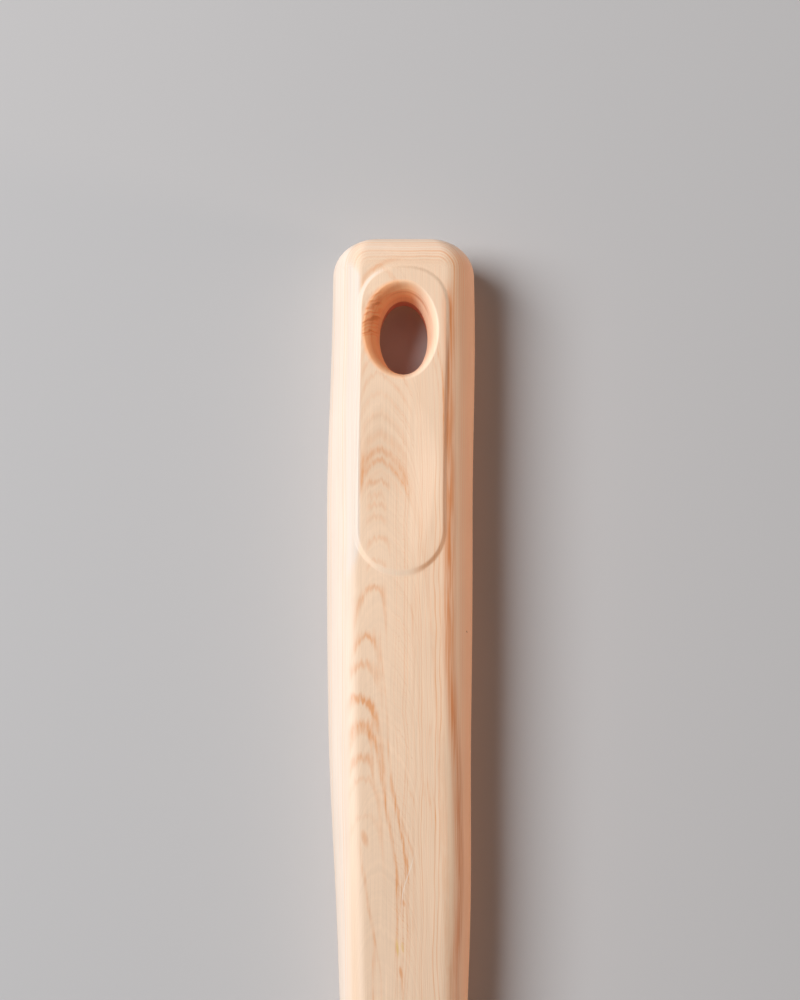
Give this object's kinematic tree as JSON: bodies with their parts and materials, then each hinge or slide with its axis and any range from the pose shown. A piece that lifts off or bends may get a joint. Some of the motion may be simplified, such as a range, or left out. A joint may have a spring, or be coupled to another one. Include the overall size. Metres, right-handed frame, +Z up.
{
  "type": "silicone spatula",
  "caption": "Kitchen spatula with a flexible silicone blade and a hollow wood-look plastic handle that has a raised thumb pad and an oval hanging hole.",
  "frame": {"origin": "on the surface that the spatula lies on, under the middle of its length and width", "axes": "+Y along the spatula towards the hanging end, +Z up out of the face with the thumb pad, +X to the right seen from above"},
  "size_m": [0.059, 0.312, 0.0165],
  "materials": {
    "wood_look_plastic": "moulded plastic with a printed pale wood grain, satin",
    "core_nylon": "natural nylon, as moulded",
    "stainless_steel": "drawn and cut to length",
    "collar_plastic": "fine matte moulding",
    "seal_rubber": "soft, matte",
    "silicone": "smooth matte silicone"
  },
  "bodies": {
    "root": {"handle_shell": "wood_look_plastic", "handle_core": "core_nylon", "blade_core": "core_nylon", "neck_spine": "stainless_steel", "tang_pin_1": "stainless_steel", "tang_pin_2": "stainless_steel", "neck_collar": "collar_plastic", "collar_seal": "seal_rubber", "silicone_head": "silicone"}
  },
  "joints": []
}
